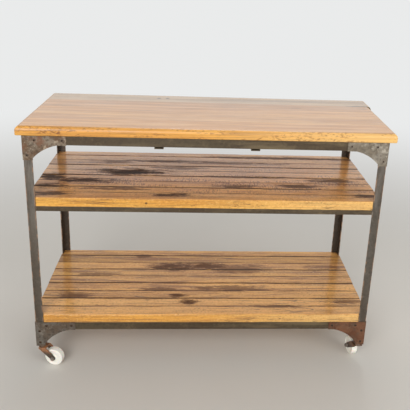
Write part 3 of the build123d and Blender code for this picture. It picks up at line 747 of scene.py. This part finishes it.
def worktop_plank(name, is_front, is_rear):
    """One plank of the worktop: leaning ends, its outer top edges rounded over and its seams closed."""
    low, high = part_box(name)
    depth = high.y - low.y
    plank = new_block(name + "_board", low, high)
    outer_y = low.y if is_front else high.y
    bpy.ops.object.mode_set(mode="EDIT")
    pick(plank, "VERT", lambda vertex: vertex.co.x < 0 and vertex.co.y > low.y + depth / 2)
    bpy.ops.transform.translate(value=(depth * left_lean, 0, 0))
    pick(plank, "VERT", lambda vertex: vertex.co.x > 0 and vertex.co.y < low.y + depth / 2)
    bpy.ops.transform.translate(value=(-depth * right_lean, 0, 0))

    def on_nosing(edge):
        outer = (is_front or is_rear) and at(edge, 1, outer_y)
        return at(edge, 2, high.z) and (outer or not runs_along(edge, 0))

    pick(plank, "EDGE", on_nosing)
    bpy.ops.mesh.bevel(offset=nosing_radius, segments=nosing_segments)
    pick(plank, "EDGE", lambda edge: is_sharp(edge) and at(edge, 2, low.z))
    bpy.ops.mesh.bevel(offset=nosing_under_radius, segments=nosing_under_segments)
    if is_front or is_rear:
        pick(plank, "EDGE", lambda edge: is_sharp(edge)
             and abs(edge.verts[0].co.z - edge.verts[1].co.z) > on_plane
             and all(abs(vertex.co.y - outer_y) < corner_reach for vertex in edge.verts))
        bpy.ops.mesh.bevel(offset=worktop_corner_radius, segments=corner_segments, clamp_overlap=True)
    pick(plank, "EDGE", lambda edge: runs_along(edge, 0) and edge.calc_length() > long_edge)
    bpy.ops.mesh.subdivide(number_cuts=plank_cuts)
    bpy.ops.object.mode_set(mode="OBJECT")
    smooth(plank)
    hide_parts(name)
    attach(plank, "frame")
    return plank


def open_split(plank, seam_y, way):
    """Draw a plank back from its neighbour towards the right end, where the joint has opened."""
    right_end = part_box("top_plank_4")[1].x
    for vertex in plank.data.vertices:
        along = (vertex.co.x - (right_end - split_length)) / split_length
        near = 1 - abs(vertex.co.y - seam_y) / split_strip
        if along > 0 and near > 0:
            ragged = 1 + split_raggedness * noise.noise(vertex.co * split_raggedness_scale)
            vertex.co.y += way * split_half_width * min(along, split_most) * near * ragged


def dress(names, material):
    """Give one finish to nodes that keep their own shape."""
    for name in names:
        dress_piece(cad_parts[name], material)


def dress_piece(piece, material):
    """Give a piece its finish."""
    piece.data.materials.clear()
    piece.data.materials.append(material)


def make_worktop():
    """The five planks of the worktop."""
    tones = (
        ((0.84, 0.46, 0.170), (0.60, 0.27, 0.085), (0.24, 0.09, 0.025)),
        ((0.82, 0.46, 0.185), (0.57, 0.27, 0.095), (0.23, 0.10, 0.035)),
        ((0.81, 0.44, 0.175), (0.56, 0.26, 0.090), (0.22, 0.09, 0.030)),
        ((0.77, 0.42, 0.185), (0.51, 0.25, 0.100), (0.21, 0.09, 0.040)),
        ((0.64, 0.44, 0.260), (0.38, 0.24, 0.140), (0.15, 0.09, 0.055)),
    )
    # Smudges on each plank: x, y, half length, half width and strength. The long thin last mark on planks 4
    # and 5 is painted shadow along the opened split at the right end.
    marks = {
        2: [(186, -158, 14, 9, 0.25)],
        3: [(-516, 38, 60, 18, 0.20)],
        4: [(320, 72, 22, 8, 0.30), (577, 84, 26, 9, 0.35), (575, 120, 60, 5, 0.9)],
        5: [(-199, 172, 9, 9, 0.8), (-167, 174, 9, 9, 0.8), (-354, 171, 120, 14, 0.22),
            (575, 122, 60, 5, 0.9)],
    }
    nosing_marks = [
        (-491, 880, 9, 5, 0.3, 0.95), (-508, 884, 22, 3, -0.4, 0.7), (-538, 882, 16, 3, -0.5, 0.7),
        (-430, 876, 12, 2, 0.4, 0.6), (-520, 872, 30, 2, 0.1, 0.6), (150, 874, 18, 3, 0.5, 0.55),
        (215, 876, 22, 3, -0.4, 0.5), (320, 873, 16, 2, 0.3, 0.5),
    ]
    planks = {}
    last = len(tones)
    for number, tone in enumerate(tones, 1):
        name = f"top_plank_{number}"
        plank = worktop_plank(name, number == 1, number == last)
        seams = (number > 1, number < last)
        finish_name = f"worktop_timber_{number}"
        seed = plank_seed_step * number
        nosing = nosing_marks if number == 1 else []
        finish = worktop_timber(finish_name, seed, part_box(name), seams, tone, marks.get(number, []), nosing)
        dress_piece(plank, finish)
        planks[number] = plank
    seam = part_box("top_plank_5")[0].y
    open_split(planks[4], seam, -1)
    open_split(planks[5], seam, 1)


def make_shelves():
    """Nine boards on each shelf. The smudges run on from board to board.

    Each row of nine numbers runs from the front board to the rear one.
    """
    shades = {"middle": ((0.96, 0.52, 0.20), (0.62, 0.29, 0.11), soot_and_shade),
              "lower": ((0.92, 0.50, 0.16), (0.52, 0.24, 0.075), (0.085, 0.038, 0.020))}
    palenesses = {"middle": (1.00, 1.00, 0.97, 1.03, 1.18, 1.08, 0.90, 0.79, 0.82),
                  "lower": (1.17, 1.18, 1.03, 1.06, 0.93, 0.72, 0.77, 0.46, 0.72)}
    browned_depths = {"middle": (0.60, 0.70, 0.70, 0.65, 0.30, 0.30, 0.75, 0.75, 0.80),
                      "lower": (0.15, 0.15, 0.62, 0.64, 0.64, 0.64, 0.64, 0.64, 0.64)}
    varnish = {"middle": (0.25, 0.25, 0.45, 0.75, 1.00, 1.00, 0.80, 0.85, 0.90),
               "lower": (0.95, 0.95, 0.75, 0.75, 0.75, 0.75, 0.70, 0.50, 0.60)}
    streak_shares = {"middle": (0.60,) * boards_per_shelf,
                     "lower": (0.60, 0.75, 0.90, 0.90, 0.90, 0.90, 0.90, 0.95, 0.95)}
    sawn_shares = {"middle": (0.30, 0.50, 0.70, 0.65, 0.50, 0.35, 0.20, 0.0, 0.0),
                   "lower": (0.0,) * boards_per_shelf}
    fronts = {"middle": ((honey, amber), [(-215, 640, 6, 5, 0.2, 0.9), (561, 648, 10, 1.6, 0.9, 0.9),
                                          (567, 640, 7, 1.3, -0.7, 0.8), (-60, 634, 12, 1.5, 0.1, 0.5)]),
              "lower": (((0.86, 0.41, 0.068), (0.68, 0.30, 0.042)), [(-260, 190, 10, 1.5, 0.2, 0.4)])}
    marks = {
        "middle": [
            (-292, 13, 150, 36, 0.88), (-282, 4, 80, 22, 0.97), (-575, -37, 60, 36, 0.92),
            (-436, -72, 95, 26, 0.95), (-541, -192, 75, 18, 0.80), (-560, -125, 60, 18, 0.90),
            (-133, -193, 75, 16, 0.85), (-369, 117, 80, 22, 0.55), (-174, 132, 190, 16, 0.70),
            (320, -102, 90, 20, 0.70), (89, -110, 80, 16, 0.60), (436, -43, 100, 20, 0.70),
            (545, -179, 50, 20, 0.75), (285, 189, 360, 18, 0.60), (60, 120, 260, 14, 0.55),
            (-120, 60, 110, 20, 0.50), (150, -20, 160, 16, 0.45), (-330, -140, 120, 16, 0.55),
        ],
        "lower": [
            (-139, 97, 115, 34, 0.90), (8, 102, 95, 24, 0.85), (-110, -107, 34, 16, 0.85),
            (-68, -150, 36, 16, 0.92), (-266, 176, 34, 15, 0.65), (-422, 40, 90, 12, 0.50),
            (-487, -105, 60, 20, 0.60), (-167, -66, 80, 14, 0.50), (121, 81, 150, 34, 0.50),
            (122, -55, 120, 26, 0.50), (502, 99, 100, 24, 0.40), (537, -143, 70, 18, 0.60),
            (252, -179, 130, 16, 0.40), (-4, -56, 55, 14, 0.55),
        ],
    }
    for level in ("middle", "lower"):
        for number in range(1, boards_per_shelf + 1):
            name = f"{level}_slat_{number}"
            seed = number * board_seed_step + (lower_shelf_seed if level == "lower" else 0)
            board = shelf_board(name, number == 1, number == boards_per_shelf, board_sinks[number - 1] * MM)
            low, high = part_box(name)
            here = [mark for mark in marks[level]
                    if low.y < (mark[1] + mark[3]) * MM and high.y > (mark[1] - mark[3]) * MM]
            pale, shade, stained = shades[level]
            lift = palenesses[level][number - 1]
            browned = (tuple(lift * part for part in pale), tuple(lift * part for part in shade),
                       browned_depths[level][number - 1], stained, varnish[level][number - 1],
                       sawn_shares[level][number - 1], streak_shares[level][number - 1])
            seams = (number > 1, number < boards_per_shelf)
            front = fronts[level] if number == 1 else ((honey, amber), [])
            finish = shelf_timber(f"{level}_timber_{number}", seed, (low, high), seams, browned, here, front)
            dress_piece(board, finish)


def make_steel():
    """Finishes of the frame, the brackets, the fasteners and the casters."""
    sides = {"front_left": (-1, -1), "front_right": (1, -1), "rear_left": (-1, 1), "rear_right": (1, 1)}
    for corner, (side_x, side_y) in sides.items():
        name = "post_" + corner
        dress([name], post_steel("steel_" + name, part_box(name), side_x, side_y))
    nodes = list(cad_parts)
    grey, brown = (0.086, 0.063, 0.034), (0.070, 0.044, 0.022)
    along_x = [name for name in nodes if name.endswith(("_rail_front", "_rail_rear"))]
    along_y = [name for name in nodes if name.endswith(("_rail_left", "_rail_right", "_bearers"))]
    dress(along_x, worn_steel("rail_steel", grey, brown, 0.0, (0.12, 1, 1)))
    dress(along_y, worn_steel("cross_steel", grey, brown, 0.0, (1, 0.12, 1)))
    # Grey, brown and share of rust, of the left-hand and the right-hand brackets
    upper_left = ((0.25, 0.200, 0.145), (0.120, 0.064, 0.030), 0.15)
    upper_right = ((0.29, 0.255, 0.205), (0.20, 0.160, 0.112), 0.0)
    lower_left = ((0.145, 0.128, 0.106), (0.110, 0.074, 0.048), 0.05)
    lower_right = ((0.12, 0.070, 0.040), (0.125, 0.042, 0.016), 0.20)
    dress(["upper_corner_brackets"], bracket_steel("upper_bracket_steel", upper_left, upper_right))
    dress(["lower_corner_brackets"], bracket_steel("lower_bracket_steel", lower_left, lower_right))
    dress(["bracket_rivets"], rivet_steel())
    fastener = worn_steel("fastener_steel", (0.26, 0.23, 0.20), (0.17, 0.125, 0.09), 0.03, (1, 1, 1))
    dress(["deck_screws", "caster_stems"], fastener)
    dress([name for name in nodes if name.startswith("caster_axle_")], fastener)
    dress(["foot_plates"] + [name for name in nodes if name.startswith("caster_fork_")], fork_steel())
    dress([name for name in nodes if name.startswith("caster_wheel_")], nylon())


def weld_bead(name, place, turned):
    """A rippled bead down one butt joint of the middle rails: a row of overlapping drops."""
    bpy.ops.object.select_all(action="DESELECT")
    across, out = (bead_half_rise, bead_half_width) if turned else (bead_half_width, bead_half_rise)
    bpy.ops.mesh.primitive_uv_sphere_add(segments=12, ring_count=8, radius=1, location=place,
                                         scale=(across, out, bead_half_height))
    bead = bpy.context.object
    bead.name = name
    bpy.ops.object.transform_apply(location=True, rotation=True, scale=True)
    bpy.ops.object.mode_set(mode="EDIT")
    bpy.ops.mesh.select_all(action="SELECT")
    for _ in range(bead_copies):
        bpy.ops.mesh.duplicate_move(TRANSFORM_OT_translate={"value": (0, 0, bead_step)})
    bpy.ops.object.mode_set(mode="OBJECT")
    skin = bead.modifiers.new("skin", "REMESH")
    skin.mode = "VOXEL"
    skin.voxel_size = bead_voxel
    bpy.ops.object.modifier_apply(modifier=skin.name)
    bpy.ops.object.shade_smooth()
    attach(bead, "frame")
    return bead


def make_welds():
    """Beads where the middle rails meet the posts: two to each rail."""
    finish = worn_steel("weld_steel", (0.16, 0.135, 0.105), (0.10, 0.065, 0.042), 0.10, (1, 1, 1))
    for side in ("front", "rear", "left", "right"):
        low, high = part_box("middle_rail_" + side)
        long_way = side in ("front", "rear")
        face = {"front": low.y, "rear": high.y, "left": low.x, "right": high.x}[side]
        for end in (low, high):
            foot = low.z + bead_step
            place = (end.x, face, foot) if long_way else (face, end.y, foot)
            number = 1 if end is low else 2
            dress_piece(weld_bead(f"weld_bead_{side}_{number}", place, not long_way), finish)


def make_stage():
    """The floor and the soft lamps."""
    bpy.ops.object.select_all(action="DESELECT")
    bpy.ops.mesh.primitive_plane_add(size=stage_size, location=(0, 0, 0))
    floor = bpy.context.object
    floor.name = "floor"
    dress_piece(floor, pale_floor())
    # Name, place and size in metres, and watts
    lamps = (
        ("key", (-1.3, -3.6, 2.3), 2.6, 101),
        ("fill", (2.6, -2.6, 1.8), 2.4, 49),
        ("back", (0.3, 2.0, 4.2), 2.0, 52),
    )
    for name, place, size, power in lamps:
        lamp = bpy.data.lights.new(name, "AREA")
        lamp.shape = "SQUARE"
        lamp.size = size
        lamp.energy = power
        holder = bpy.data.objects.new(name, lamp)
        holder.location = place
        aim = Vector(lamp_aim) - Vector(place)
        holder.rotation_euler = aim.to_track_quat("-Z", "Y").to_euler()
        bpy.context.scene.collection.objects.link(holder)


def make_surround():
    """A pale surround that the camera and the glossy surfaces see brighter than it lights."""
    world = bpy.data.worlds.new("surround")
    bpy.context.scene.world = world
    world.use_nodes = True
    nodes, links = world.node_tree.nodes, world.node_tree.links
    shade = nodes["Background"]
    shade.inputs["Color"].default_value = (*background, 1)
    level = nodes.new("ShaderNodeMapRange")
    links.new(seen_rays(nodes, links), level.inputs["Value"])
    level.inputs["To Min"].default_value = surround_light
    level.inputs["To Max"].default_value = 1.0
    links.new(level.outputs["Result"], shade.inputs["Strength"])


def make_camera():
    """The photograph's camera: its optical centre lies above the middle of the frame."""
    camera = bpy.data.cameras.new("camera")
    camera.sensor_width = sensor_width
    camera.lens = focal_pixels / photo_width * camera.sensor_width
    camera.shift_x = (photo_width / 2 - optical_centre_x) / photo_width
    camera.shift_y = (optical_centre_y - photo_width / 2) / photo_width
    camera.clip_end = stage_size
    holder = bpy.data.objects.new("camera", camera)
    bpy.context.scene.collection.objects.link(holder)
    bpy.context.scene.camera = holder
    ahead = Vector((math.sin(camera_yaw) * math.cos(camera_pitch),
                    math.cos(camera_yaw) * math.cos(camera_pitch),
                    -math.sin(camera_pitch)))
    right = Vector((math.cos(camera_yaw), -math.sin(camera_yaw), 0))
    up = right.cross(ahead)
    tilted_right = math.cos(camera_roll) * right + math.sin(camera_roll) * up
    tilted_up = math.cos(camera_roll) * up - math.sin(camera_roll) * right
    turn = Matrix((tilted_right, tilted_up, -ahead)).transposed()
    holder.matrix_world = Matrix.Translation(camera_place) @ turn.to_4x4()


make_worktop()
make_shelves()
make_steel()
make_welds()
make_stage()
make_surround()
make_camera()
bpy.context.scene.view_settings.view_transform = "Standard"
